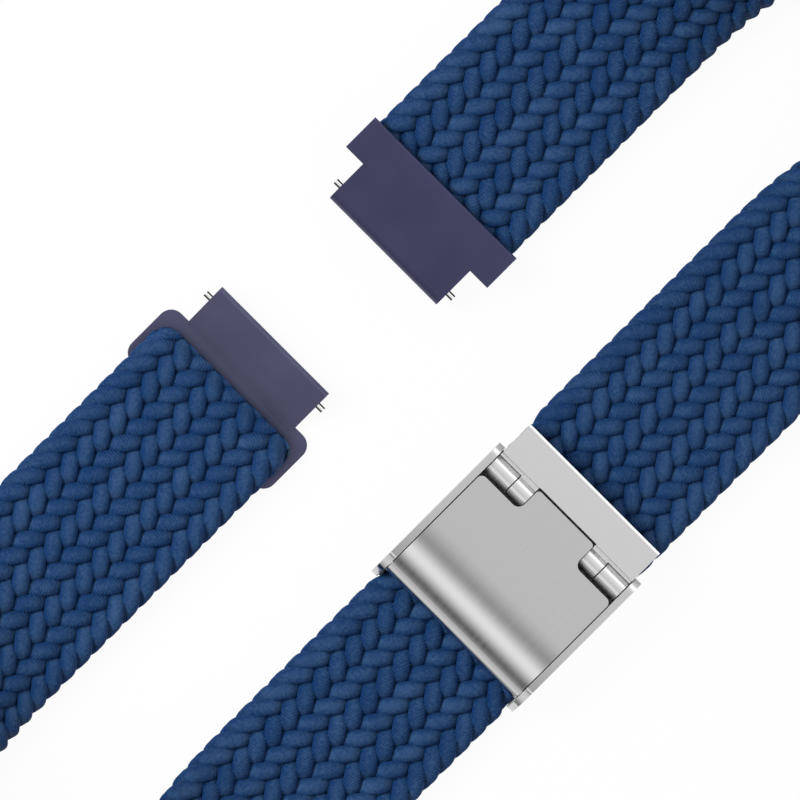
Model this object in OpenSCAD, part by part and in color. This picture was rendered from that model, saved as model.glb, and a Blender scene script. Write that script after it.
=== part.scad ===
// Woven nylon watch strap with a stainless clasp, closed into a loop that lies on its face.
// The origin is the middle of the clasp's underside. X runs along the strap, Z is up.

/* [Woven strap] */
// Width of the woven strap
strap_w = 24.2; // [21:0.1:25]
// Thickness of the woven strap
strap_t = 2.7; // [2:0.1:3.2]
// Radius of the strap's long edges
strap_edge_r = 1.1; // [0.6:0.1:1.2]
// Distance from the middle of the clasp to the turn of the upper half
upper_reach = 66.5; // [60:0.5:90]
// Distance from the middle of the clasp to the turn of the lower half
lower_reach = 53.5; // [45:0.5:80]
// Length over which the strap tips up before each turn
turn_lead = 16; // [10:1:20]
// Sideways distance from the clasp run to the upper connector run
upper_offset = 41.85; // [38:0.05:50]
// Sideways distance from the clasp run to the lower connector run
lower_offset = 43.55; // [38:0.05:50]
// Length of the sealed tail tip
tail_l = 1.4; // [0.8:0.1:3]
// Height of the woven strap above the surface it lies on
strap_z = 0.8; // [0.8:0.05:1.2]

/* [Clasp] */
// Length of the clasp frame
frame_l = 24; // [22:0.5:28]
// Thickness of the frame's side rails
rail_t = 1; // [0.7:0.05:1.2]
// Thickness of the frame's floor and of the clamp plates
floor_t = 0.7; // [0.5:0.05:0.8]
// Height of the frame's side rails
rail_h = 6.4; // [6.2:0.1:8]
// Radius of the rail corner at the cover's pivot
rail_r_pivot = 4; // [2:0.5:4.5]
// Radius of the rail corner at the end bar
rail_r_end = 2; // [1:0.5:2]
// Gap between a side rail and what moves between the rails
side_gap = 0.15; // [0.05:0.01:0.2]
// Thickness of the cover
cover_t = 0.9; // [0.7:0.05:1]
// Gap between the cover's front edge and the hinge barrels
cover_gap = 0.4; // [0.2:0.05:1]
// Length of the cover's flat stretch
cover_flat = 8.7; // [6:0.1:10]
// Width of the cover's finger tongue
tongue_w = 10.3; // [8:0.1:11]
// Distance that the cover's finger tongue reaches past the hinge line
tongue_over = 1.8; // [0.5:0.05:1.9]
// Length of the end bar
end_bar_l = 5.25; // [4:0.05:8]
// Width of each knuckle of the end bar
knuckle_w = 2.8; // [1.5:0.1:3]
// Distance from the frame's end to the hinge line
hinge_inset = 2.6; // [2.4:0.05:3]
// Distance from the frame's other end to the cover's pivot
pivot_inset = 2.65; // [2.4:0.05:3]
// Radius of the hinge barrels
barrel_r = 1.55; // [1.3:0.05:1.7]
// Radius of the hinge pin
hinge_pin_r = 0.6; // [0.4:0.05:0.7]
// Radius of the cover's pivot pin
cover_pin_r = 0.5; // [0.4:0.05:0.6]
// Radius of the rolled edge of the cover
curl_r = 1.1; // [1:0.05:1.1]
// Running clearance of pins and tips
run_gap = 0.05; // [0.02:0.01:0.08]
// Radius of the balls in the cover's sides
catch_r = 0.45; // [0.3:0.05:0.5]

/* [Connectors] */
// Width of the connectors between the lugs
lug_w = 19.9; // [18:0.1:20]
// Width of the upper connector's flange
upper_flange_w = 26.3; // [25.5:0.1:28]
// Width of the lower connector's flange
lower_flange_w = 26.5; // [25.5:0.1:28]
// Length of the upper connector's narrow part
upper_neck_l = 6.25; // [5:0.05:8]
// Length of the upper connector's flange
upper_flange_l = 5.5; // [4:0.1:8]
// Length of the lower connector's narrow part
lower_neck_l = 6.35; // [6:0.05:8]
// Length of the lower connector's flange
lower_flange_l = 9.25; // [8:0.05:12]
// Radius of the lower connector's flange corners
flange_r = 1.9; // [0.5:0.1:3]
// Distance from the middle of the clasp to the upper connector's lug end
upper_lug_x = 18.95; // [17:0.05:30]
// Distance from the middle of the clasp to the lower connector's lug end
lower_lug_x = 0.65; // [-10:0.05:4]
// Thickness of the upper connector's flange
flange_t = 0.95; // [0.8:0.05:1.4]
// Height of the lower connector's ridge
ridge_h = 3.6; // [3.4:0.1:4]
// Distance from a lug end to its spring bar
bar_inset = 2.15; // [2:0.05:2.3]
// Radius of the spring bar tube
tube_r = 0.9; // [0.8:0.05:0.95]
// Wall of the spring bar tube
tube_wall = 0.16; // [0.12:0.01:0.2]
// Radius of the spring bar tips
tip_r = 0.425; // [0.3:0.025:0.45]
// Length of a tip that stands out of the connector
tip_l = 1; // [0.7:0.05:1.3]
// Radius of the rivets
rivet_r = 0.7; // [0.5:0.05:0.9]
// Distance from a piece's side to the first rivet
rivet_edge = 2.5; // [1.5:0.1:4]
// Number of rivets in a row
rivets = 3; // [2:1:4]

/* [Hidden] */
$fn = 48;
weave_colour = [0.15, 0.27, 0.43];
anodised_colour = [0.27, 0.26, 0.37];
steel_colour = [0.74, 0.74, 0.75];

// Heights
seat_gap = 0.1;
cover_clear = 0.15;
hinge_rise = 1;
cover_proud = 0.1;
strap_mid = strap_z + strap_t / 2;
strap_top = strap_z + strap_t;
flat_gap = 0.12;
pivot_z = strap_top + cover_clear + curl_r;
hinge_z = strap_top + hinge_rise;
cover_top = rail_h + cover_proud;
cover_under = cover_top - cover_t;

// Places along the clasp
half_frame = frame_l / 2;
cover_w = strap_w - 2 * seat_gap;
rail_in = cover_w / 2 + side_gap;
rail_out = rail_in + rail_t;
pivot_x = -half_frame + pivot_inset;
hinge_x = half_frame - hinge_inset;
barrel_gap = 0.35;
cover_edge_x = hinge_x - barrel_r - cover_gap;
tongue_x = hinge_x + tongue_over;
end_bar_x = hinge_x + barrel_r + barrel_gap;
end_bar_w = cover_w;
knuckle_in = tongue_w / 2 + seat_gap;
knuckle_out = knuckle_in + knuckle_w;
bush_gap = 0.16;
tail_inset = 0.8;
tail_x = cover_edge_x - tail_inset;
pocket_gap = 0.08;
pocket_r = norm([tongue_x - hinge_x, cover_top - hinge_z]) + pocket_gap;
seat_x = hinge_x + pocket_r + seat_gap;
upper_strap_x = seat_x + 2 * seat_gap;

// Places of the connectors
upper_step_x = upper_lug_x + upper_neck_l;
upper_end_x = upper_step_x + upper_flange_l;
upper_weave_in = 0.4;
upper_weave_x = upper_step_x + upper_weave_in;
lower_step_x = lower_lug_x - lower_neck_l;
lower_end_x = lower_step_x - lower_flange_l;
lower_weave_in = 2;
lower_weave_x = lower_step_x - lower_weave_in;
upper_bar_rise = 0.35;
upper_bar_z = strap_mid + upper_bar_rise;
lower_bar_z = floor_t + tube_r + run_gap;

// Spring bar
bar_recess = 0.2;
tube_half = lug_w / 2 - bar_recess;
tube_in = tube_r - tube_wall;
lip_t = 0.5;
head_l = 1.2;
head_r = tube_in - run_gap;
neck_step = 0.12;
neck_r = tube_in - neck_step;
spring_r = head_r - run_gap;
spring_wall = 0.2;
spring_gap = 0.1;
joint_overlap = 0.1;

// Points of an arc in a plane
function arc(centre, r, from, to, steps = 8) =
    [for (i = [0:steps])
        let (angle = from + (to - from) * i / steps)
        centre + r * [cos(angle), sin(angle)]];

// The edge of a turning strap: heading, tilt and place at a distance s into the turn
turn_rate_sum = 0.4859;
function turn_length(offset) = offset / turn_rate_sum;
function share(s, l) = min(1, max(0, s / l));
function ease(q) = q * q * (3 - 2 * q);
function heading(s, l) = 180 * ease(share(s, l));
function tilt(s, l) = s < l / 2
    ? 90 * ease(share(s + turn_lead, l / 2 + turn_lead))
    : 180 - 90 * ease(share(l - s + turn_lead, l / 2 + turn_lead));

// Stations of a strap half: plain stretch, turn, plain stretch
turn_steps = 46;
fine = 4;
function ahead_at(s, l) = [cos(heading(s, l)), sin(heading(s, l))];
function turn_edge(l, reach) =
    let (ds = (l + 2 * turn_lead) / (turn_steps * fine))
    [for (i = 0, p = [reach - turn_lead, -strap_w / 2]; i <= turn_steps * fine;
        p = p + ds * ahead_at((i + 0.5) * ds - turn_lead, l), i = i + 1) p];
function rounded_section(w, t, r) = concat(
    arc([w / 2 - r, t / 2 - r], r, 0, 90, 3), arc([-w / 2 + r, t / 2 - r], r, 90, 180, 3),
    arc([-w / 2 + r, -t / 2 + r], r, 180, 270, 3), arc([w / 2 - r, -t / 2 + r], r, 270, 360, 3));
function ring(edge, head, tip, section) =
    let (left = [-sin(head), cos(head), 0], across = cos(tip) * left + [0, 0, sin(tip)],
        ahead = [cos(head), sin(head), 0], out = cross(ahead, across),
        middle = [edge[0], edge[1], strap_mid * abs(cos(tip))] + strap_w / 2 * across)
    [for (q = section) middle + q[0] * across + q[1] * out];

// A strap half that starts at start_x on the clasp run and ends at end_x on the connector run
module strap_half(start_x, end_x, reach, offset) {
    l = turn_length(offset);
    section = rounded_section(strap_w, strap_t, strap_edge_r);
    edge = turn_edge(l, reach);
    step = (l + 2 * turn_lead) / turn_steps;
    rings = concat(
        [ring([start_x, -strap_w / 2], 0, 0, section)],
        [for (i = [0:turn_steps])
            let (s = -turn_lead + i * step)
            ring(edge[i * fine], heading(s, l), tilt(s, l), section)],
        [ring([end_x, offset - strap_w / 2], 180, 180, section)]);
    n = len(section);
    last = len(rings) - 1;
    sides = [for (i = [0:last - 1], j = [0:n - 1], k = [0, 1])
        let (a = i * n + j, b = i * n + (j + 1) % n)
        k == 0 ? [a, a + n, b] : [b, a + n, b + n]];
    polyhedron(
        points = [for (r = rings, p = r) p],
        faces = concat([[for (j = [0:n - 1]) j]], sides, [[for (j = [n - 1:-1:0]) last * n + j]]),
        convexity = 8);
}

// A cylinder along Y from y0 to y1
module across_rod(x, z, r, y0, y1) {
    translate([x, y0, z]) rotate([-90, 0, 0]) cylinder(r = r, h = y1 - y0);
}

// A side outline in X and Z, drawn out along Y from y0 to y1
module drawn(points, y0, y1) {
    translate([0, y1, 0]) rotate([90, 0, 0]) linear_extrude(height = y1 - y0) polygon(points);
}

// A plate with its corners rounded in plan
module plate(x0, x1, w, z0, z1, r) {
    translate([0, 0, z0]) linear_extrude(height = z1 - z0) polygon(concat(
        arc([x1 - r, w / 2 - r], r, 0, 90), arc([x0 + r, w / 2 - r], r, 90, 180),
        arc([x0 + r, -w / 2 + r], r, 180, 270), arc([x1 - r, -w / 2 + r], r, 270, 360)));
}

// A row of rivets across a piece that is w wide
module rivet_row(x, y, w, z0, z1, r) {
    span = w - 2 * rivet_edge;
    for (i = [0:rivets - 1])
        translate([x, y - span / 2 + span * i / (rivets - 1), z0]) cylinder(r = r, h = z1 - z0);
}

module lower_strap() {
    color(weave_colour) mirror([1, 0, 0])
        strap_half(-tail_x + tail_l, -lower_weave_x, lower_reach, lower_offset);
}

module tail_tip() {
    flat = 0.5;
    color(weave_colour) drawn([
        [tail_x - tail_l, strap_z], [tail_x - flat, strap_z], [tail_x, strap_mid - flat],
        [tail_x, strap_mid + flat], [tail_x - flat, strap_top], [tail_x - tail_l, strap_top]],
        -strap_w / 2 + strap_edge_r, strap_w / 2 - strap_edge_r);
}

module upper_strap() {
    color(weave_colour) strap_half(upper_strap_x, upper_weave_x, upper_reach, upper_offset);
}

// Lower connector: a plate under the strap that ramps up to the spring bar block
rivet_seat = 3.4;
lower_rivet_x = lower_weave_x - rivet_seat;
lower_rivet_top = strap_mid;
module lower_connector() {
    nose = 0.7;
    ramp_foot = 0.6;
    color(anodised_colour) difference() {
        union() {
            translate([0, lower_offset, 0])
                plate(lower_end_x, lower_step_x, lower_flange_w, 0, floor_t, flange_r);
            drawn(concat(
                arc([lower_lug_x - nose, nose], nose, -90, 0),
                arc([lower_lug_x - nose, ridge_h - nose], nose, 0, 90),
                [[lower_step_x - ramp_foot, floor_t + seat_gap], [lower_step_x - ramp_foot, 0]]),
                lower_offset - lug_w / 2, lower_offset + lug_w / 2);
        }
        across_rod(lower_lug_x - bar_inset, lower_bar_z, tube_r + run_gap,
            lower_offset - lug_w, lower_offset + lug_w);
        rivet_row(lower_rivet_x, lower_offset, lug_w, -1, floor_t + 1, rivet_r);
    }
}

module lower_rivets() {
    color(steel_colour) rivet_row(lower_rivet_x, lower_offset, lug_w, 0, lower_rivet_top, rivet_r);
}

// Upper connector: a plate over the strap with the spring bar block in front
upper_rivet_x = upper_weave_x + rivet_seat;
upper_flange_z = strap_top + flat_gap;
upper_top = upper_flange_z + flange_t;
block_z = floor_t + seat_gap;
module upper_connector() {
    nose_flat = 0.4;
    nose = (upper_top - block_z - nose_flat) / 2;
    lip = 0.4;
    color(anodised_colour) difference() {
        union() {
            drawn(concat(
                arc([upper_lug_x + nose, block_z + nose], nose, 180, 270),
                [[upper_step_x, block_z], [upper_step_x, upper_top]],
                arc([upper_lug_x + nose, upper_top - nose], nose, 90, 180)),
                upper_offset - lug_w / 2, upper_offset + lug_w / 2);
            drawn(concat(
                [[upper_step_x, upper_flange_z], [upper_end_x, upper_flange_z]],
                arc([upper_end_x - lip, upper_top - lip], lip, 0, 90),
                [[upper_step_x, upper_top]]),
                upper_offset - upper_flange_w / 2, upper_offset + upper_flange_w / 2);
        }
        across_rod(upper_lug_x + bar_inset, upper_bar_z, tube_r + run_gap,
            upper_offset - lug_w, upper_offset + lug_w);
        rivet_row(upper_rivet_x, upper_offset, lug_w, strap_top, upper_top - flange_t / 2, rivet_r);
    }
}

module upper_connector_clamp() {
    front_in = 1.2;
    edge_in = 0.3;
    corner = 1;
    color(anodised_colour) difference() {
        translate([0, upper_offset, 0])
            plate(upper_lug_x + front_in, upper_end_x - edge_in, lug_w - 2 * edge_in, 0, floor_t, corner);
        rivet_row(upper_rivet_x, upper_offset, lug_w, -1, floor_t + 1, rivet_r);
    }
}

module upper_rivets() {
    color(steel_colour)
        rivet_row(upper_rivet_x, upper_offset, lug_w, 0, upper_top - flange_t / 2, rivet_r);
}

// Spring bars: a tube with two sprung tips
module bar_tube(x, y, z) {
    color(steel_colour) difference() {
        across_rod(x, z, tube_r, y - tube_half, y + tube_half);
        across_rod(x, z, tube_in, y - tube_half + lip_t, y + tube_half - lip_t);
        across_rod(x, z, neck_r + run_gap, y - tube_half - 1, y + tube_half + 1);
    }
}

module bar_tip(x, y, z, side) {
    head_end = tube_half - lip_t - run_gap;
    color(steel_colour) translate([x, y, z]) rotate([-90 * side, 0, 0]) union() {
        translate([0, 0, head_end - head_l]) cylinder(r = head_r, h = head_l);
        cylinder_stretch(neck_r, head_end - joint_overlap, lug_w / 2);
        cylinder_stretch(tip_r, lug_w / 2 - joint_overlap, lug_w / 2 + tip_l);
    }
}

module cylinder_stretch(r, from, to) {
    translate([0, 0, from]) cylinder(r = r, h = to - from);
}

module bar_spring(x, y, z) {
    half = tube_half - lip_t - run_gap - head_l - spring_gap;
    color(steel_colour) difference() {
        across_rod(x, z, spring_r, y - half, y + half);
        across_rod(x, z, spring_r - spring_wall, y - half - 1, y + half + 1);
    }
}

lower_bar_x = lower_lug_x - bar_inset;
upper_bar_x = upper_lug_x + bar_inset;
module lower_bar_tube() { bar_tube(lower_bar_x, lower_offset, lower_bar_z); }
module lower_bar_spring() { bar_spring(lower_bar_x, lower_offset, lower_bar_z); }
module lower_bar_tip_near() { bar_tip(lower_bar_x, lower_offset, lower_bar_z, -1); }
module lower_bar_tip_far() { bar_tip(lower_bar_x, lower_offset, lower_bar_z, 1); }
module upper_bar_tube() { bar_tube(upper_bar_x, upper_offset, upper_bar_z); }
module upper_bar_spring() { bar_spring(upper_bar_x, upper_offset, upper_bar_z); }
module upper_bar_tip_near() { bar_tip(upper_bar_x, upper_offset, upper_bar_z, -1); }
module upper_bar_tip_far() { bar_tip(upper_bar_x, upper_offset, upper_bar_z, 1); }

// Clasp frame: a floor between two side rails, drilled for both pins
pin_press = 0.01;
module clasp_frame() {
    foot = 0.3;
    floor_in = 0.35;
    outline = concat(
        arc([half_frame - foot, foot], foot, -90, 0),
        arc([half_frame - rail_r_end, rail_h - rail_r_end], rail_r_end, 0, 90),
        arc([-half_frame + rail_r_pivot, rail_h - rail_r_pivot], rail_r_pivot, 90, 180, 12),
        arc([-half_frame + foot, foot], foot, 180, 270));
    color(steel_colour) difference() {
        union() {
            translate([-half_frame + floor_in, -rail_in - joint_overlap, 0])
                cube([frame_l - 2 * floor_in, 2 * (rail_in + joint_overlap), floor_t]);
            drawn(outline, rail_in, rail_out);
            drawn(outline, -rail_out, -rail_in);
        }
        across_rod(hinge_x, hinge_z, hinge_pin_r + pin_press, -rail_out - 1, rail_out + 1);
        across_rod(pivot_x, pivot_z, cover_pin_r + pin_press, -rail_out - 1, rail_out + 1);
    }
}

module cover_pin() {
    color(steel_colour) across_rod(pivot_x, pivot_z, cover_pin_r, -rail_out, rail_out);
}

module hinge_pin() {
    color(steel_colour) across_rod(hinge_x, hinge_z, hinge_pin_r, -rail_out, rail_out);
}

// Loose bushes that fill the hinge line between the knuckles and the rails
module hinge_bushes() {
    color(steel_colour) for (side = [-1, 1])
        translate([hinge_x, side * (knuckle_out + bush_gap), hinge_z]) rotate([-90 * side, 0, 0])
            difference() {
                cylinder(r = barrel_r, h = rail_in - knuckle_out - 2 * bush_gap);
                translate([0, 0, -1]) cylinder(r = hinge_pin_r + run_gap, h = rail_in);
            }
}

// Clasp cover: a plate that falls to a rolled edge round its pivot, with a finger tongue
cover_corner = 0.8;
root_r = 1.1;
tongue_r = 0.5;
front_l = 2;
front_x = cover_edge_x - front_l;
fall_x = cover_edge_x - cover_flat;
fall_run = fall_x - pivot_x;
fall_angle = 2 * atan((cover_top - pivot_z - curl_r) / fall_run);
module clasp_cover() {
    bend_r = fall_run / sin(fall_angle) + curl_r;
    bend = [fall_x, cover_top - bend_r];
    slope = 90 + fall_angle;
    color(steel_colour) difference() {
        union() {
            drawn(concat(
                [[front_x, cover_under], [front_x, cover_top]],
                arc(bend, bend_r, 90, slope, 16),
                arc(bend, bend_r - cover_t, slope, 90, 16)), -cover_w / 2, cover_w / 2);
            across_rod(pivot_x, pivot_z, curl_r, -cover_w / 2, cover_w / 2);
            cover_front();
        }
        across_rod(pivot_x, pivot_z, cover_pin_r + run_gap, -cover_w, cover_w);
        catches(catch_r);
    }
}

// The cover's front: rounded corners, and a finger tongue with a fillet at each side of its root
module cover_front() {
    side = concat(
        [[front_x, cover_w / 2]],
        arc([cover_edge_x - cover_corner, cover_w / 2 - cover_corner], cover_corner, 90, 0),
        arc([cover_edge_x + root_r, tongue_w / 2 + root_r], root_r, 180, 270),
        arc([tongue_x - tongue_r, tongue_w / 2 - tongue_r], tongue_r, 90, 0));
    other_side = [for (i = [len(side) - 1:-1:0]) [side[i][0], -side[i][1]]];
    translate([0, 0, cover_under]) linear_extrude(height = cover_t) polygon(concat(side, other_side));
}

// Grip bar: ridges under the cover that press on the weave
grip_inset = 4.05;
module grip_bar() {
    ridge = 1.1;
    crest = 0.5;
    ridge_h = 0.8;
    count = 4;
    side_in = 1.5;
    x0 = cover_edge_x - grip_inset - count * ridge;
    tooth_z = strap_top + seat_gap;
    root_z = tooth_z + ridge_h;
    color(steel_colour) drawn(concat(
        [[x0 + count * ridge, cover_under], [x0, cover_under]],
        [for (i = [0:count - 1], q = [[0, root_z], [crest, tooth_z]])
            [x0 + (i + q[0]) * ridge, q[1]]],
        [[x0 + count * ridge, root_z]]), -cover_w / 2 + side_in, cover_w / 2 - side_in);
}

// Small balls that click the cover shut against the rails
catch_inset = 2.4;
catch_x = cover_edge_x - catch_inset;
module catch_balls() {
    color(steel_colour) catches(catch_r - pin_press);
}

module catches(r) {
    for (side = [-1, 1])
        translate([catch_x, side * (cover_w / 2 - catch_r), cover_under + cover_t / 2]) sphere(r = r);
}

// End bar: hinged on the clasp, it grips the end of the upper strap
end_bar_z = strap_top + flat_gap;
end_bar_drop = 0.2;
end_bar_top = cover_top - end_bar_drop;
end_bar_end = end_bar_x + end_bar_l;
end_rivet_x = (seat_x + end_bar_end) / 2;
ledge_rise = 0.55;
module end_bar() {
    soft = 0.3;
    slant_l = 0.3;
    slant_h = 0.2;
    brow = 0.12;
    color(steel_colour) difference() {
        union() {
            drawn([
                [end_bar_x, end_bar_z + soft], [end_bar_end - soft, end_bar_z],
                [end_bar_end, end_bar_z + soft], [end_bar_end, end_bar_top - slant_h],
                [end_bar_end - slant_l, end_bar_top], [end_bar_x + brow, end_bar_top],
                [end_bar_x, end_bar_top - brow]],
                -end_bar_w / 2, end_bar_w / 2);
            end_bar_ledge(end_bar_z + soft, hinge_z + ledge_rise);
            for (side = [-1, 1]) {
                y0 = min(side * knuckle_in, side * knuckle_out);
                across_rod(hinge_x, hinge_z, barrel_r, y0, y0 + knuckle_w);
                translate([hinge_x, y0, hinge_z - barrel_r / 2]) cube([barrel_r + 1, knuckle_w, barrel_r]);
            }
        }
        across_rod(hinge_x, hinge_z, pocket_r, -knuckle_in, knuckle_in);
        across_rod(hinge_x, hinge_z, hinge_pin_r + run_gap, -cover_w, cover_w);
        rivet_row(end_rivet_x, 0, end_bar_w, strap_z, end_rivet_top, rivet_r);
    }
}

// Ledge that closes the hinge line behind the bushes
module end_bar_ledge(z0, z1) {
    difference() {
        translate([hinge_x, -end_bar_w / 2, z0]) cube([barrel_r + 2 * barrel_gap, end_bar_w, z1 - z0]);
        across_rod(hinge_x, hinge_z, barrel_r + run_gap, -cover_w, cover_w);
    }
}

end_rivet_seat = 1;
end_rivet_top = end_bar_z + end_rivet_seat;

module end_bar_clamp() {
    side_in = 0.5;
    corner = 0.8;
    color(steel_colour) difference() {
        plate(seat_x, end_bar_end, cover_w - 2 * side_in, 0, floor_t, corner);
        rivet_row(end_rivet_x, 0, end_bar_w, -1, floor_t + 1, rivet_r);
    }
}

module end_bar_rivets() {
    color(steel_colour) rivet_row(end_rivet_x, 0, end_bar_w, 0, end_rivet_top, rivet_r);
}

lower_strap();
tail_tip();
lower_connector();
lower_rivets();
lower_bar_tube();
lower_bar_spring();
lower_bar_tip_near();
lower_bar_tip_far();
clasp_frame();
cover_pin();
hinge_pin();
hinge_bushes();
clasp_cover();
grip_bar();
catch_balls();
end_bar();
end_bar_clamp();
end_bar_rivets();
upper_strap();
upper_connector();
upper_connector_clamp();
upper_rivets();
upper_bar_tube();
upper_bar_spring();
upper_bar_tip_near();
upper_bar_tip_far();
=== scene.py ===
"""Looks of a woven nylon watch strap: two flat braids, a hinged steel clasp and two coated connectors.

Lengths are in millimetres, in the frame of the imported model, and become metres where a mesh is made.
Materials work in metres: the scale of a noise is per metre, and the depth of a bump is in metres.
Angles are in degrees.
"""

import math

import bmesh
import bpy
import mathutils
import numpy as np
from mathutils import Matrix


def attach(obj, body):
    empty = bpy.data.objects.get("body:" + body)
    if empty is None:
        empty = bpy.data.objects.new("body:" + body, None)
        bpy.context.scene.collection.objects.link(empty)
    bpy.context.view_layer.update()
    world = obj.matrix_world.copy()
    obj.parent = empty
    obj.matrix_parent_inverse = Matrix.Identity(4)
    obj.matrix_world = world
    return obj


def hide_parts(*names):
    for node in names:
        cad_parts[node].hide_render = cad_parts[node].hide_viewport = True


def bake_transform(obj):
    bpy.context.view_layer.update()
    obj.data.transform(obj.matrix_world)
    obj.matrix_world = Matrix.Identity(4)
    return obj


MM = 0.001
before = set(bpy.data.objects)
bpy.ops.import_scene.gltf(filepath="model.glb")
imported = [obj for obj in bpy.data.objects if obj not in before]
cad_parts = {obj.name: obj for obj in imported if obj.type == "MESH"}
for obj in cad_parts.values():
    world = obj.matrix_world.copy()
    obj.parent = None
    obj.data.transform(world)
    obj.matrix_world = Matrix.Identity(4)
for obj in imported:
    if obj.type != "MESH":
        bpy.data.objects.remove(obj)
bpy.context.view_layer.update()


def add_object(name, data):
    thing = bpy.data.objects.new(name, data)
    bpy.context.scene.collection.objects.link(thing)
    return thing


# Camera: straight down, with a long lens, on the middle of the photograph

PHOTO_MIDDLE = (6.66, 26.4)
PHOTO_SPAN = 105.26
PHOTO_TURN = -45
TOP_PLANE = 4.5
SENSOR = 36
LENS = 300
CLIP_END = 50


def add_camera():
    """The picture spans PHOTO_SPAN at the height of TOP_PLANE."""
    data = bpy.data.cameras.new("camera")
    data.lens = LENS
    data.sensor_width = SENSOR
    data.clip_end = CLIP_END
    camera = add_object("camera", data)
    distance = PHOTO_SPAN * LENS / SENSOR
    camera.location = (PHOTO_MIDDLE[0] * MM, PHOTO_MIDDLE[1] * MM, (TOP_PLANE + distance) * MM)
    camera.rotation_euler = (0, 0, math.radians(PHOTO_TURN))
    bpy.context.scene.camera = camera


add_camera()


# Node trees


def grey(value):
    return (value, value, value)


class Tree:
    """The node tree of a material or a world, with short calls for adding and linking nodes."""

    def __init__(self, owner):
        owner.use_nodes = True
        self.tree = owner.node_tree

    def add(self, kind, **settings):
        node = self.tree.nodes.new("ShaderNode" + kind)
        for key, value in settings.items():
            setattr(node, key, value)
        return node

    def put(self, value, socket):
        """Links an output to the socket, or sets the socket to a constant."""
        if isinstance(value, bpy.types.NodeSocket):
            self.tree.links.new(value, socket)
        else:
            socket.default_value = value

    def math(self, operation, a, b=0.0, c=0.0):
        node = self.add("Math", operation=operation)
        for value, socket in zip((a, b, c), node.inputs):
            self.put(value, socket)
        return node.outputs[0]

    def scaled(self, value, factor, plus):
        return self.math("MULTIPLY_ADD", value, factor, plus)

    def wave(self, value, pitch):
        return self.math("SINE", self.math("MULTIPLY", value, 2 * math.pi / pitch))

    def ranged(self, value, begin, end, low=0.0, high=1.0):
        """low to high, as value goes from begin to end."""
        node = self.add("MapRange")
        self.put(value, node.inputs["Value"])
        for key, number in (("From Min", begin), ("From Max", end), ("To Min", low), ("To Max", high)):
            node.inputs[key].default_value = number
        return node.outputs[0]

    def place(self, scale=(1, 1, 1)):
        """The place on the piece, with each axis stretched by scale."""
        where = self.add("TexCoord").outputs["Object"]
        node = self.add("Mapping")
        self.put(where, node.inputs["Vector"])
        node.inputs["Scale"].default_value = scale
        return node.outputs[0]

    def noise(self, vector, scale, detail=2.0, rough=0.5):
        node = self.add("TexNoise")
        self.put(vector, node.inputs["Vector"])
        node.inputs["Scale"].default_value = scale
        node.inputs["Detail"].default_value = detail
        node.inputs["Roughness"].default_value = rough
        return node.outputs[0]

    def ramp(self, value, stops):
        """The colour at value, between stops of a place and a colour each."""
        node = self.add("ValToRGB")
        self.put(value, node.inputs[0])
        elements = node.color_ramp.elements
        while len(elements) < len(stops):
            elements.new(0.5)
        for element, (place, colour) in zip(elements, stops):
            element.position = place
            element.color = (*colour, 1)
        return node.outputs[0]

    def tinted(self, noise, colour, low, high):
        """The colour, from its low share in a noise's dark places to its high share in the bright ones."""
        return self.ramp(noise, [
            (NOISE_DARK, tuple(part * low for part in colour)),
            (NOISE_BRIGHT, tuple(part * high for part in colour)),
        ])

    def bump(self, height, strength, distance):
        node = self.add("Bump")
        self.put(height, node.inputs["Height"])
        node.inputs["Strength"].default_value = strength
        node.inputs["Distance"].default_value = distance
        return node.outputs[0]

    def mixed(self, share, first, second):
        """A shader that goes from first to second as share goes from 0 to 1."""
        node = self.add("MixShader")
        for value, socket in zip((share, first, second), node.inputs):
            self.put(value, socket)
        return node.outputs[0]


class Surface(Tree):
    """A new material with the usual shader."""

    def __init__(self, name):
        self.material = bpy.data.materials.new(name)
        super().__init__(self.material)
        self.shader = self.tree.nodes["Principled BSDF"]

    def set(self, **values):
        for name, value in values.items():
            self.put(value, self.shader.inputs[name.replace("_", " ")])


# Materials

NOISE_DARK = 0.3
NOISE_BRIGHT = 0.7

# Nylon: pitches are in millimetres of cord. A pair is a factor and what is added
RIB_PITCH = 0.38
RIB_ARCH = 0.55
RIB_WANDER = 0.16
RIB_EDGE = (0.6, 0.3)
RIB_WEAR = (1.6, -0.1)
RIB_SMOOTH = (-1.13, 1.35)
YARN_PITCH = 0.33
YARN_HEIGHT = 0.15
FIBRE_HEIGHT = 0.9
WANDER_NOISE = 700
WEAR_NOISE = 420
FIBRE_NOISE = 2600
NYLON_CLOUD = 260
NYLON_TONE = 0.235
# Tone to blue: the palest, greyer stop is where the painted crest highlight lands
NYLON_BLUES = [
    (0.2, (0.001, 0.026, 0.115)),
    (0.5, (0.009, 0.038, 0.118)),
    (0.8, (0.044, 0.098, 0.208)),
]
NYLON_DEPTH = 0.00006
SHEEN_TINT = (0.45, 0.65, 1.0, 1)
GLOW_RADIUS = (0.15, 0.4, 1.0)
GLOW_SCALE = 0.0006

# Steel: brush lines run along the strap
BRUSH_STRETCH = (14, 1800, 1800)
BRUSH_ROUGH = 0.05
BRUSH_GLOSS = 0.02
BRUSH_SHADE = 0.03
BRUSH_BUMP = 0.06
BRUSH_DEPTH = 0.00001
STEEL_CLOUD = 90
CUT_GRAIN = 3800
# Painted reflection on the pins: the colour where a pin faces the view, and towards its sides
PIN_PAINTED_GLINT = (0.03, grey(0.95))
PIN_PAINTED_SIDE = (0.15, grey(0.015))

# Coating
COAT_GRAIN = 5200
COAT_CLOUD = 120
COAT_ROUGH = 0.42
COAT_DEPTH = 0.00002


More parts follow.
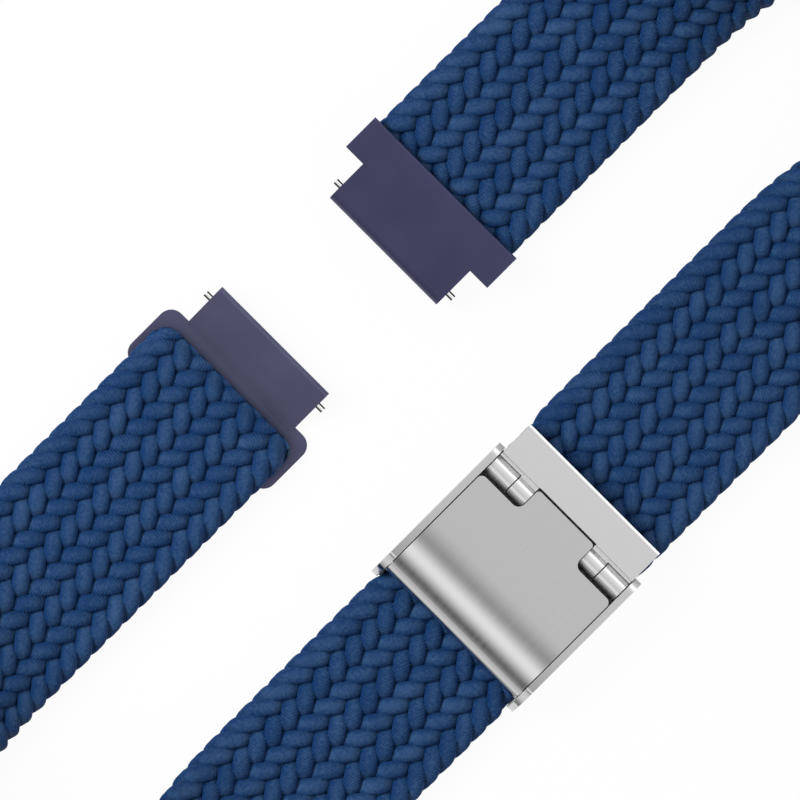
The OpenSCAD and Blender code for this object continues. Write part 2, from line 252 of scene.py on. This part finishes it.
def nylon_material():
    """Braided nylon sheath: fine ribs across each cord, a soft sheen and a slight change of blue, partly
    painted shade and highlight.

    The attribute cord holds the length along the cord, the place across it, and a kind. The kind's
    fraction is the cord's own shade, and it is over 1 where the cord runs the way that looks smooth.
    Each cord is painted darker towards its sides and lighter on its crest, and a little lighter where
    it runs the smooth-looking way, which also gets fainter ribs.
    """
    m = Surface("woven_nylon")
    split = m.add("SeparateXYZ")
    m.put(m.add("Attribute", attribute_name="cord").outputs["Vector"], split.inputs[0])
    along, across, kind = split.outputs
    shade = m.math("FRACT", kind)
    smooth = m.math("GREATER_THAN", kind, 1.0)
    # Grows towards each cord's sides: it strengthens the ribs there, and it paints shade there in the tone
    side_ribs_and_painted_shade = m.math("MULTIPLY", across, across)

    arch = m.math("MULTIPLY", m.math("ABSOLUTE", across), RIB_ARCH)
    wander = m.scaled(m.noise(m.place(), WANDER_NOISE), RIB_WANDER, arch)
    ribs = m.wave(m.math("ADD", along, wander), RIB_PITCH)
    wear = m.scaled(m.noise(m.place(), WEAR_NOISE, 1.0), *RIB_WEAR)
    wear = m.math("MULTIPLY", wear, m.scaled(smooth, *RIB_SMOOTH))
    ribs = m.math("MULTIPLY", m.math("MULTIPLY", ribs, wear), m.scaled(side_ribs_and_painted_shade, *RIB_EDGE))

    fibre = m.noise(m.place(), FIBRE_NOISE)
    height = m.scaled(m.wave(across, YARN_PITCH), YARN_HEIGHT, ribs)
    height = m.scaled(fibre, FIBRE_HEIGHT, height)

    cloud = m.noise(m.place(), NYLON_CLOUD, 3.0)
    tone = NYLON_TONE
    # Shares of the tone. Cloud, shade, ribs and fibre are the cords' own tone. The square of the place
    # across (-0.17) is painted shade towards each cord's sides and a painted highlight on its crest. The
    # smooth-looking way (0.04) gets a painted highlight.
    weights = ((cloud, 0.25), (shade, 0.05), (ribs, 0.12), (fibre, 0.4), (side_ribs_and_painted_shade, -0.17), (smooth, 0.04))
    for part, weight in weights:
        tone = m.scaled(part, weight, tone)

    m.set(Base_Color=m.ramp(tone, NYLON_BLUES), Roughness=0.6, Specular_IOR_Level=0.12)
    m.set(Normal=m.bump(height, 0.7, NYLON_DEPTH))
    m.set(Sheen_Weight=0.06, Sheen_Roughness=0.4, Sheen_Tint=SHEEN_TINT)
    m.set(Subsurface_Weight=0.45, Subsurface_Radius=GLOW_RADIUS, Subsurface_Scale=GLOW_SCALE)
    return m.material


def steel_material(name, colour, roughness, brush, shine=1.0):
    """Stainless steel with fine brush lines along the strap, as strong as brush says."""
    m = Surface(name)
    lines = m.noise(m.place(BRUSH_STRETCH), 1.0, 3.0, 0.6)
    cloud = m.noise(m.place(), STEEL_CLOUD)
    spread = m.scaled(lines, BRUSH_ROUGH * brush, roughness - BRUSH_GLOSS * brush)
    m.set(Base_Color=m.tinted(lines, colour, 1 - BRUSH_SHADE * brush, 1), Metallic=shine)
    m.set(Roughness=m.scaled(cloud, 0.02, spread))
    if brush:
        m.set(Normal=m.bump(lines, BRUSH_BUMP * brush, BRUSH_DEPTH))
    return m.material


def pin_material(name):
    """A thin polished pin with a painted reflection: its colour is near white where it faces the view and
    near black towards its sides.
    """
    m = Surface(name)
    facing = m.add("LayerWeight").outputs["Facing"]
    # Painted reflection: the colour follows how squarely the pin faces the view
    m.set(Base_Color=m.ramp(facing, [PIN_PAINTED_GLINT, PIN_PAINTED_SIDE]), Metallic=1.0, Roughness=0.1)
    return m.material


def cut_material(name, colour, roughness, shine):
    """Steel that was cut or left inside, without polish: dull, with a fine grain."""
    m = Surface(name)
    grain = m.noise(m.place(), CUT_GRAIN)
    m.set(Base_Color=m.tinted(grain, colour, 0.85, 1.1), Metallic=shine)
    m.set(Roughness=m.scaled(grain, 0.1, roughness))
    return m.material


def coated_material(name, colour):
    """Steel with a satin blue-grey coating and a very fine grain."""
    m = Surface(name)
    grain = m.noise(m.place(), COAT_GRAIN)
    cloud = m.noise(m.place(), COAT_CLOUD, 3.0)
    m.set(Base_Color=m.tinted(cloud, colour, 0.9, 1.1), Metallic=0.8)
    m.set(Roughness=m.scaled(grain, 0.12, COAT_ROUGH), Specular_IOR_Level=0.4)
    m.set(Normal=m.bump(grain, 0.12, COAT_DEPTH))
    return m.material


NYLON = nylon_material()
COVER_STEEL = steel_material("cover_steel", grey(0.61), 0.07, 1.0)
BAR_STEEL = steel_material("bar_steel", grey(0.74), 0.12, 0.5)
RAIL_STEEL = steel_material("rail_steel", grey(0.62), 0.1, 0.2)
BRIGHT_STEEL = steel_material("bright_steel", grey(0.5), 0.1, 0.0)
TIP_STEEL = pin_material("tip_steel")
BARREL_STEEL = steel_material("barrel_steel", grey(0.68), 0.05, 0.0, 0.75)
CUT_STEEL = cut_material("cut_steel", grey(0.42), 0.45, 0.4)
# Painted light: the end bar's front is a matt white, not steel, to brighten what the barrels mirror
BRIGHT_FRONT_PAINT = cut_material("bright_front_paint", grey(0.85), 0.4, 0.0)
INNER_STEEL = cut_material("inner_steel", grey(0.6), 0.5, 0.3)
UPPER_COAT = coated_material("upper_coat", (0.057, 0.057, 0.121))
LOWER_COAT = coated_material("lower_coat", (0.086, 0.086, 0.155))


# Meshes


def solid(name, points, faces, material):
    """A smooth closed mesh from points in millimetres."""
    mesh = bpy.data.meshes.new(name)
    mesh.from_pydata((points * MM).tolist(), [], faces)
    mesh.shade_smooth()
    bm = bmesh.new()
    bm.from_mesh(mesh)
    bmesh.ops.recalc_face_normals(bm, faces=bm.faces)
    bm.to_mesh(mesh)
    bm.free()
    mesh.materials.append(material)
    return add_object(name, mesh)


def tube_faces(rings, sides, first=0):
    """The faces round a row of rings, and a cap on each end. first is the number of the first point."""
    ring, k = np.meshgrid(np.arange(rings - 1), np.arange(sides), indexing="ij")
    a = first + ring * sides + k
    b = first + ring * sides + (k + 1) % sides
    quads = np.stack([a, b, b + sides, a + sides], -1).reshape(-1, 4).tolist()
    start = [first + k for k in range(sides)]
    end = [(rings - 1) * sides + point for point in start]
    return quads + [start[::-1], end]


def circle(sides):
    """The cosine and sine at even steps round a circle."""
    angle = 2 * np.pi * np.arange(sides) / sides
    return np.cos(angle), np.sin(angle)


def powered(values, power):
    """Values raised to a power, with their signs kept."""
    return np.sign(values) * np.abs(values) ** power


def ease(q):
    """A smooth step from 0 to 1 as q goes from 0 to 1."""
    q = np.clip(q, 0, 1)
    return q * q * (3 - 2 * q)


# Braids

# The strap: its width, its thickness, and the height of its middle where it lies flat
STRAP_W = 24.2
STRAP_T = 2.7
STRAP_MID = 2.15

# Its turns: the run over which it twists up or down, and the share of a turn's length that goes sideways
TURN_LEAD = 16
TURN_RATE_SUM = 0.4859
PATH_STEP = 0.1

# The braid: in one stitch a cord goes STITCH along the strap and ROW across it
CORDS = 17
ROW = 2.94
STITCH = 3.0
CORD_W = 2.34
CORD_T = 1.2
CORD_RISE = 0.78
CORD_BLUNT = 0.9
CORD_STEP = 0.3
CORD_SIDES = 16
CORD_SEED = 17
SHADE_SPAN = 0.98
EDGE_ROUND = 2.3
LEAF_LEAN = 0.17
LEAF_TAPER = 0.13
LIFT_FLAT = 1.1
END_SPARE = 2.4

# The cords' turns at the strap's edges, counted in half stitches from the edge
TURN_REACH = 1.5
TURN_FROM = -0.9
TURN_TO = 0.8

# The floor: what lies below REST_LEVEL keeps REST_GIVE of its depth under it
REST_LEVEL = 0.05
REST_GIVE = 0.1

# The ends: how far the clasp holds each half, how much it draws it in, and the shape of the lower end
SQUEEZE_RUN = 2.5
UPPER_HELD = 4.4
UPPER_DRAWN = 0.014
UPPER_SHIFT = -0.2
LOWER_HELD = 16.4
LOWER_DRAWN = 0.035
END_CORNER = 2.2
END_FALL = 2.4
END_THIN = 0.5
END_DROP = 0.6


class StrapPath:
    """Where a strap half runs: along the clasp run, round its turn and back to its connector.

    side is 1 for the half that turns at +X, and -1 for the one that turns at -X.
    """

    def __init__(self, side, start_x, end_x, reach, offset):
        self.side = side
        turn = offset / TURN_RATE_SUM
        s = np.arange(-TURN_LEAD, turn + TURN_LEAD + PATH_STEP / 2, PATH_STEP)
        head = np.pi * ease(s / turn)
        half_head = np.pi * ease((s + PATH_STEP / 2) / turn)
        x = reach - TURN_LEAD + np.concatenate([[0], np.cumsum(np.cos(half_head[:-1]) * PATH_STEP)])
        y = -STRAP_W / 2 + np.concatenate([[0], np.cumsum(np.sin(half_head[:-1]) * PATH_STEP)])
        rise = (s + TURN_LEAD) / (turn / 2 + TURN_LEAD)
        fall = (turn - s + TURN_LEAD) / (turn / 2 + TURN_LEAD)
        tip = np.where(s < turn / 2, np.pi / 2 * ease(rise), np.pi - np.pi / 2 * ease(fall))
        first = np.arange(start_x, reach - TURN_LEAD, PATH_STEP)
        last = np.arange(reach - TURN_LEAD - PATH_STEP, end_x, -PATH_STEP)
        x = np.concatenate([first, x, last, [end_x]])
        y = np.concatenate([np.full(len(first), y[0]), y, np.full(len(last) + 1, y[-1])])
        head = np.concatenate([np.zeros(len(first)), head, np.full(len(last) + 1, np.pi)])
        tip = np.concatenate([np.zeros(len(first)), tip, np.full(len(last) + 1, np.pi)])
        left = np.stack([-np.sin(head), np.cos(head), np.zeros_like(head)], 1)
        self.across = np.cos(tip)[:, None] * left + np.sin(tip)[:, None] * np.array([0, 0, 1])
        ahead = np.stack([np.cos(head), np.sin(head), np.zeros_like(head)], 1)
        self.out = np.cross(ahead, self.across)
        edge = np.stack([x, y, STRAP_MID * np.abs(np.cos(tip))], 1)
        self.middle = edge + STRAP_W / 2 * self.across
        self.u = np.concatenate([[0], np.cumsum(np.linalg.norm(np.diff(self.middle, axis=0), axis=1))])
        self.length = self.u[-1]

    def place(self, u, b, n):
        """The points at distance u along, b across and n out of the middle of the strap."""
        def at(values):
            return np.stack([np.interp(u, self.u, values[:, k]) for k in range(3)], -1)

        p = at(self.middle) + b[..., None] * at(self.across) + n[..., None] * at(self.out)
        return p * np.array([self.side, 1, 1])


def cord_across(tau):
    """Place across the strap of a cord that zigzags from edge to edge, rounded where it turns.

    tau counts half stitches. A cord takes CORDS of them from one edge to the other.
    """
    edge_b = ROW / 2 * CORDS / 2
    t = np.mod(tau, 2 * CORDS)
    far = np.where(t < CORDS, t, 2 * CORDS - t) * ROW / 2
    b = edge_b - far
    edge = np.minimum(far, 2 * edge_b - far)
    inset = np.where(edge < EDGE_ROUND, (EDGE_ROUND - edge) ** 2 / (2 * EDGE_ROUND), 0)
    return b - np.sign(b) * inset


def cord_lift(tau):
    """1 where a cord passes over two others, and -1 where it passes under two. It climbs as it turns."""
    t = np.mod(tau, CORDS)
    lift = np.tanh(LIFT_FLAT * np.sin(np.pi * (t - 0.5) / 2)) / np.tanh(LIFT_FLAT)
    past = np.where(t > CORDS / 2, t - CORDS, t)
    turn = 2 * ease((past - TURN_FROM) / (TURN_TO - TURN_FROM)) - 1
    return np.where(np.abs(past) < TURN_REACH, turn, lift)


def cord_lean(tau):
    """Step along the strap that turns each leaf a little steeper than the cord's own way."""
    t = np.mod(tau, CORDS)
    inner = ease(t - 0.5) * ease(CORDS - 0.5 - t)
    return -LEAF_LEAN * inner * np.sin(np.pi * (t - 0.5))


def rested(points):
    """Flattens the lowest sides of the cords, where the strap stands on the floor by its edge."""
    below = np.minimum(points[..., 2] - REST_LEVEL, 0)
    points[..., 2] -= (1 - REST_GIVE) * below
    return points


def braid_mesh(name, path, sense, shape):
    """Sweeps every cord of a braid along path. sense is 1 or -1, the way the leaves point."""
    ring_x, ring_z = circle(CORD_SIDES)
    ring_z = powered(ring_z, CORD_BLUNT)
    count = int(round((path.length + 2 * END_SPARE) / CORD_STEP))
    u = np.linspace(-END_SPARE, path.length + END_SPARE, count)
    tone = np.random.default_rng(CORD_SEED).uniform(0, 1, CORDS)
    points, faces, marks = [], [], []
    for cord in range(CORDS):
        tau = sense * u / (STITCH / 2) + 2 * cord
        b = cord_across(tau)
        lift = cord_lift(tau)[:, None]
        run_u = u + sense * cord_lean(tau)
        ahead_u, ahead_b = np.gradient(run_u, u), np.gradient(b, u)
        size = np.hypot(ahead_u, ahead_b)
        side_u, side_b = -ahead_b / size, ahead_u / size
        slim = 1 - LEAF_TAPER * (1 - np.abs(lift))
        wide = CORD_W / 2 * slim * ring_x
        us = run_u[:, None] + wide * side_u[:, None]
        bs = b[:, None] + wide * side_b[:, None]
        ns = CORD_RISE * lift + CORD_T / 2 * slim * ring_z
        points.append(rested(path.place(*shape(us, bs, ns))).reshape(-1, 3))
        faces += tube_faces(count, CORD_SIDES, cord * count * CORD_SIDES)
        run = np.concatenate([[0], np.cumsum(np.hypot(np.diff(u), np.diff(b)))])
        kind = SHADE_SPAN * tone[cord] + (ahead_b > 0)
        marks.append(np.stack([
            np.repeat(run, CORD_SIDES),
            np.tile(ring_x * CORD_W / 2, count),
            np.repeat(kind, CORD_SIDES),
        ], 1))
    piece = solid(name, np.concatenate(points), faces, NYLON)
    mark = piece.data.attributes.new("cord", "FLOAT_VECTOR", "POINT")
    mark.data.foreach_set("vector", np.concatenate(marks).astype(np.float32).ravel())
    return piece


UPPER_PATH = StrapPath(side=1, start_x=12.35, end_x=25.6, reach=66.5, offset=41.85)
LOWER_PATH = StrapPath(side=-1, start_x=-5.25, end_x=7.7, reach=53.5, offset=43.55)


def squeezed(u, b, held, drawn, shift):
    """The place across the strap, drawn in and moved aside where the clasp holds its first stretch."""
    hold = ease(1 + (held - u) / SQUEEZE_RUN)
    return b * (1 - drawn * hold) + shift * hold


def upper_shape(u, b, n):
    """Ends the cords of the upper half squarely, and draws them in at the clasp."""
    return np.clip(u, 0, UPPER_PATH.length), squeezed(u, b, UPPER_HELD, UPPER_DRAWN, UPPER_SHIFT), n


def lower_shape(u, b, n):
    """Rounds the corners of the lower half's end, and draws its cords down to the connector's plate."""
    past = np.clip(np.abs(b) - (STRAP_W / 2 - END_CORNER), 0, END_CORNER)
    end = LOWER_PATH.length - END_CORNER + np.sqrt(END_CORNER**2 - past**2)
    fall = ease(1 - (end - u) / END_FALL)
    lowered = n * (1 - END_THIN * fall) + END_DROP * fall
    return np.clip(u, 0, end), squeezed(u, b, LOWER_HELD, LOWER_DRAWN, 0.0), lowered


upper_braid = braid_mesh("upper_braid", UPPER_PATH, 1, upper_shape)
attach(upper_braid, "upper_half")
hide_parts("upper_strap")
lower_braid = braid_mesh("lower_braid", LOWER_PATH, -1, lower_shape)
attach(lower_braid, "lower_half")
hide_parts("lower_strap")


# Metal pieces: each CAD node's shape with its edges broken as on the real piece

# A face looks along an axis when its normal's share there is over ALONG, and aside when it is under ASIDE
ALONG = 0.9
ASIDE = 0.1

# Where a piece changes its material
COVER_FRONT = 5.4
KNUCKLE_END = 11
FRONT_TURN = -0.6
FRONT_TILT = 0.3
RAIL_IN = 12.3
RAIL_END_TURN = 0.5

# The foot of the lower connector's ramp
RAMP_FOOT = 0.8
PLATE_TOP = 0.7
SAME_HEIGHT = 0.01
FOOT_LENGTH = 15
FOOT_ANGLE = 60
FILLET = 1.1
FILLET_STEPS = 8

# Broken edges
WELD = 0.002
FLAT_ANGLE = 0.05
EDGE_ANGLE = 32
EDGE_STEPS = 3
LONG_EDGE = 2.2
LONG_ANGLE = 15
SHORT_SHARE = 0.25


def cover_part(centre, normal):
    """1 on the cover's cut edges."""
    upright = abs(normal.z) < ASIDE
    return int(upright and (abs(normal.y) > ALONG or centre.x > COVER_FRONT * MM))


def end_bar_part(centre, normal):
    """1 on the end bar's cut edges, 2 on its knuckles, and 3 on its front, which is painted matt white so
    that the barrels mirror a brighter face.
    """
    if centre.x < KNUCKLE_END * MM and abs(normal.y) < ALONG:
        return 2
    if normal.x < FRONT_TURN and abs(normal.z) < FRONT_TILT:
        return 3
    if normal.x < FRONT_TURN and normal.z > 0:
        return 1
    return int(abs(normal.z) < ASIDE)


def frame_part(centre, normal):
    """1 on the clasp frame's floor and inner walls, and on the steep ends of its rails."""
    return int(abs(centre.y) < RAIL_IN * MM or normal.x > RAIL_END_TURN)


def bush_part(centre, normal):
    """1 on the flat ends of the bushes."""
    return int(abs(normal.y) > ALONG)


def at_height(vert, height):
    return abs(vert.co.z - height * MM) < SAME_HEIGHT * MM


def edge_turn(edge):
    """How far the surface turns at an edge. An edge without two faces counts as flat."""
    return math.degrees(edge.calc_face_angle(0)) if len(edge.link_faces) == 2 else 0


def lower_foot(bm):
    """Lets the lower connector's ramp end flush with its plate."""
    for vert in bm.verts:
        if at_height(vert, RAMP_FOOT):
            vert.co.z = PLATE_TOP * MM


def lower_fillet(bm):
    """Rounds the corner between the lower connector's ramp and its plate."""
    foot = []
    for edge in bm.edges:
        low = all(at_height(vert, PLATE_TOP) for vert in edge.verts)
        if low and edge.calc_length() > FOOT_LENGTH * MM and LONG_ANGLE < edge_turn(edge) < FOOT_ANGLE:
            foot.append(edge)
    bmesh.ops.bevel(
        bm, geom=foot, offset=FILLET * MM, offset_type="OFFSET", segments=FILLET_STEPS, profile=0.5,
        affect="EDGES", clamp_overlap=True)


def mark_long_edges(bm):
    """Gives a mesh's long edges the whole bevel width, and its other edges a share of it."""
    weight = bm.edges.layers.float.new("bevel_weight_edge")
    for edge in bm.edges:
        turn = edge_turn(edge)
        if edge.calc_length() > LONG_EDGE * MM and turn > LONG_ANGLE:
            edge[weight] = 1.0
        elif turn > EDGE_ANGLE:
            edge[weight] = SHORT_SHARE


def softened(node, body, materials, slot, width, part=None, long_only=False):
    """A copy of a CAD node with welded faces and rounded edges, which stands for it.

    part tells from a face's centre and normal which of the materials it has. With long_only, only long
    edges get the whole width.
    """
    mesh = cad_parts[node].data.copy()
    mesh.name = node + "_metal"
    for name in ("sharp_face", "sharp_edge", "custom_normal"):
        if name in mesh.attributes:
            mesh.attributes.remove(mesh.attributes[name])
    bm = bmesh.new()
    bm.from_mesh(mesh)
    if node == "lower_connector":
        lower_foot(bm)
    bmesh.ops.remove_doubles(bm, verts=bm.verts, dist=WELD * MM)
    bmesh.ops.dissolve_limit(bm, angle_limit=math.radians(FLAT_ANGLE), verts=bm.verts, edges=bm.edges)
    bmesh.ops.recalc_face_normals(bm, faces=bm.faces)
    if node == "lower_connector":
        lower_fillet(bm)
    mesh.materials.clear()
    for material in materials:
        mesh.materials.append(material)
    for face in bm.faces:
        face.smooth = True
        face.material_index = part(face.calc_center_median(), face.normal) if part else 0
    if long_only:
        mark_long_edges(bm)
    bm.to_mesh(mesh)
    bm.free()
    piece = add_object(node + "_metal", mesh)
    bevel = piece.modifiers.new("bevel", "BEVEL")
    bevel.width = width * MM
    bevel.segments = EDGE_STEPS
    bevel.limit_method = "WEIGHT" if long_only else "ANGLE"
    bevel.angle_limit = math.radians(EDGE_ANGLE)
    bevel.harden_normals = True
    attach(piece, body)
    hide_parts(node)


BAR_STEELS = [BAR_STEEL, CUT_STEEL, BARREL_STEEL, BRIGHT_FRONT_PAINT]
METAL = [
    ("upper_connector", "upper_half", [UPPER_COAT], "coated_steel", 0.45, None, True),
    ("upper_connector_clamp", "upper_half", [UPPER_COAT], "coated_steel", 0.1),
    ("lower_connector", "lower_half", [LOWER_COAT], "coated_steel", 0.45, None, True),
    ("clasp_frame", "clasp", [RAIL_STEEL, INNER_STEEL], "brushed_steel", 0.12, frame_part),
    ("clasp_cover", "cover", [COVER_STEEL, CUT_STEEL], "brushed_steel", 0.05, cover_part),
    ("grip_bar", "cover", [CUT_STEEL], "brushed_steel", 0.08),
    ("end_bar", "upper_half", BAR_STEELS, "brushed_steel", 0.03, end_bar_part),
    ("end_bar_clamp", "upper_half", [CUT_STEEL], "brushed_steel", 0.1),
    ("hinge_bushes", "clasp", [BARREL_STEEL, CUT_STEEL], "polished_steel", 0.02, bush_part),
]
for piece in METAL:
    softened(*piece)

# Nodes that stay as they are, and their materials
PLAIN = [
    (BRIGHT_STEEL, ["lower_rivets", "lower_bar_tube", "upper_rivets", "upper_bar_tube"]),
    (BRIGHT_STEEL, ["cover_pin", "catch_balls", "end_bar_rivets"]),
    (TIP_STEEL, ["lower_bar_tip_near", "lower_bar_tip_far", "upper_bar_tip_near", "upper_bar_tip_far"]),
    (INNER_STEEL, ["hinge_pin"]),
]
for material, nodes in PLAIN:
    for node in nodes:
        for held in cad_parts[node].material_slots:
            held.material = material


# Coil springs inside the spring bars: two to a bar, each from the bar's middle to one tip

WIRE = 0.11
COILS = 13
COIL_STEPS = 20
WIRE_SIDES = 6


def coil_spring(name, middle, radius, reach):
    """A coil of wire, as inside a spring bar.

    WIRE is the wire's own radius, and radius the coil's. reach is the coil's length from the bar's
    middle, and its sign is the way that the coil runs along Y.
    """
    count = COILS * COIL_STEPS + 1
    run = np.linspace(0, 1, count)
    turn = 2 * np.pi * COILS * run
    out = np.stack([np.cos(turn), np.zeros(count), np.sin(turn)], 1)
    spine = middle + radius * out
    inset = np.sign(reach) * WIRE
    spine[:, 1] += inset + (reach - 2 * inset) * run
    ring_out, ring_y = circle(WIRE_SIDES)
    ring = ring_out[:, None] * out[:, None] + ring_y[:, None] * np.array([0, 1, 0])
    points = spine[:, None] + WIRE * ring
    piece = solid(name, points.reshape(-1, 3), tube_faces(count, WIRE_SIDES), BRIGHT_STEEL)
    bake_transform(piece)
    return piece


for strap in ("lower", "upper"):
    node = strap + "_bar_spring"
    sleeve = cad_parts[node]
    corners = np.array([sleeve.matrix_world @ v.co for v in sleeve.data.vertices]) / MM
    low, high = corners.min(0), corners.max(0)
    middle = (low + high) / 2
    radius = (high[0] - low[0]) / 2 - WIRE
    reach = (high[1] - low[1]) / 2
    near = coil_spring(strap + "_coil_near", middle, radius, -reach)
    far = coil_spring(strap + "_coil_far", middle, radius, reach)
    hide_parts(node)
    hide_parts(node)


# Sealed end of the tail: the cords' ends melted together

TAIL_FROM = 5.25
TAIL_TO = 6.65
TAIL_HALF_W = 11
TAIL_STEP = 0.1
TAIL_RINGS = 24
TAIL_DIP = 0.16
TAIL_CORNER = 8
TAIL_EDGE = 0.02
TAIL_BLUNT = 0.6
TAIL_ROUND = 0.7
DIP_REACH = 0.4
EDGE_REACH = 0.2


def tail_end():
    """A rounded lip with a shallow dip between each two cords."""
    ys = np.arange(-TAIL_HALF_W, TAIL_HALF_W + TAIL_STEP / 2, TAIL_STEP)
    turn = np.linspace(-np.pi / 2, np.pi / 2, TAIL_RINGS)
    side = np.sqrt(np.clip(1 - (np.abs(ys) / TAIL_HALF_W) ** TAIL_CORNER, TAIL_EDGE, 1))
    dip = 1 - TAIL_DIP * (0.5 - 0.5 * np.cos(2 * np.pi * ys / ROW)) ** 2
    half = STRAP_T / 2 * side * dip
    reach = (TAIL_TO - TAIL_FROM) * (1 - DIP_REACH * (1 - dip)) * (1 - EDGE_REACH * (1 - side))
    x = TAIL_FROM + reach[:, None] * np.cos(turn) ** TAIL_BLUNT
    z = STRAP_MID + half[:, None] * powered(np.sin(turn), TAIL_ROUND)
    points = np.stack([x, np.repeat(ys[:, None], TAIL_RINGS, 1), z], -1)
    piece = solid("tail_end", points.reshape(-1, 3), tube_faces(len(ys), TAIL_RINGS), NYLON)
    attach(piece, "lower_half")
    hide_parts("tail_tip")


tail_end()


# Floor, backdrop and light

FLOOR_HALF = 1500
FLOOR_DROP = 0.02
FLOOR_MATT = 0.8
FLOOR_GLOW = 0.95

# The tent: a place and a level each, from its left wall at 0 over its top at 0.5 to its right wall at 1.
# Between left and top run a dark, a bright and a grey band
TENT_LEVELS = [
    (0.0, 0.15), (0.06, 0.48), (0.12, 0.6), (0.23, 0.58), (0.321, 0.48), (0.3373, 0.44),
    (0.3435, 0.26), (0.3517, 0.05), (0.3588, 0.05), (0.367, 0.26), (0.3752, 0.46),
    (0.3824, 0.651), (0.3896, 0.766), (0.3968, 0.819), (0.405, 0.766), (0.4132, 0.64),
    (0.4204, 0.5), (0.4286, 0.38), (0.4368, 0.29), (0.444, 0.25), (0.4523, 0.3), (0.4677, 0.4),
    (0.4831, 0.475), (0.4955, 0.515), (0.6, 0.56), (0.72, 0.62), (0.81, 0.9), (0.84, 1.0), (1.0, 1.0),
]

# Its far and near walls: where along Y each begins and is full, and its level
TENT_WALLS = [(0.6, 0.9, 0.4), (-0.6, -0.9, 1.0)]
TENT_LIGHT = 0.86
TENT_MIRRORED = 1.6

# The key lamp, in metres from the middle of the photograph
KEY_PLACE = (-0.28, 0.52, 0.52)
KEY_SIZE = 0.45
KEY_WATTS = 6.5


def stage_material():
    """A matt floor that glows white towards the camera and in mirrors."""
    material = bpy.data.materials.new("white_floor")
    t = Tree(material)
    t.tree.nodes.clear()
    rays = t.add("LightPath").outputs
    seen = t.math("MAXIMUM", rays["Is Camera Ray"], rays["Is Glossy Ray"])
    matt = t.add("BsdfDiffuse")
    matt.inputs["Color"].default_value = (*grey(FLOOR_MATT), 1)
    white = t.add("Emission")
    white.inputs["Strength"].default_value = 1.0
    floor = t.mixed(t.math("MULTIPLY", seen, FLOOR_GLOW), matt.outputs[0], white.outputs[0])
    t.put(floor, t.add("OutputMaterial").inputs[0])
    return material


def add_floor():
    half = FLOOR_HALF * MM
    mesh = bpy.data.meshes.new("floor")
    corners = [(-half, -half, 0), (half, -half, 0), (half, half, 0), (-half, half, 0)]
    mesh.from_pydata(corners, [], [(0, 1, 2, 3)])
    mesh.materials.append(stage_material())
    floor = add_object("floor", mesh)
    floor.location.z = -FLOOR_DROP * MM


def add_world():
    """A light tent, brightest on its right and near walls. The camera sees plain white.

    Mirrors see the tent brighter than it lights the rest.
    """
    world = bpy.data.worlds.new("tent")
    bpy.context.scene.world = world
    t = Tree(world)
    split = t.add("SeparateXYZ")
    t.put(t.add("TexCoord").outputs["Generated"], split.inputs[0])
    stops = [(place, grey(level)) for place, level in TENT_LEVELS]
    colour = t.ramp(t.ranged(split.outputs["X"], -1, 1), stops)
    for begin, full, level in TENT_WALLS:
        wall = t.add("Mix", data_type="RGBA")
        t.put(t.ranged(split.outputs["Y"], begin, full), wall.inputs["Factor"])
        t.put(colour, wall.inputs["A"])
        wall.inputs["B"].default_value = (*grey(level), 1)
        colour = wall.outputs["Result"]
    rays = t.add("LightPath").outputs
    tent = t.tree.nodes["Background"]
    t.put(colour, tent.inputs["Color"])
    t.put(t.ranged(rays["Is Glossy Ray"], 0, 1, TENT_LIGHT, TENT_MIRRORED), tent.inputs["Strength"])
    white = t.add("Background")
    white.inputs["Color"].default_value = (1, 1, 1, 1)
    seen = t.mixed(rays["Is Camera Ray"], tent.outputs[0], white.outputs[0])
    t.put(seen, t.tree.nodes["World Output"].inputs[0])


def add_key_lamp():
    """A square soft lamp that faces the middle of the photograph."""
    data = bpy.data.lights.new("key_lamp", "AREA")
    data.shape = "SQUARE"
    data.size = KEY_SIZE
    data.energy = KEY_WATTS
    lamp = add_object("key_lamp", data)
    toward = mathutils.Vector(KEY_PLACE)
    lamp.location = mathutils.Vector((PHOTO_MIDDLE[0] * MM, PHOTO_MIDDLE[1] * MM, 0)) + toward
    lamp.rotation_euler = toward.to_track_quat("Z", "Y").to_euler()
    lamp.visible_glossy = False


add_floor()
add_world()
add_key_lamp()
bpy.context.scene.view_settings.view_transform = "Standard"
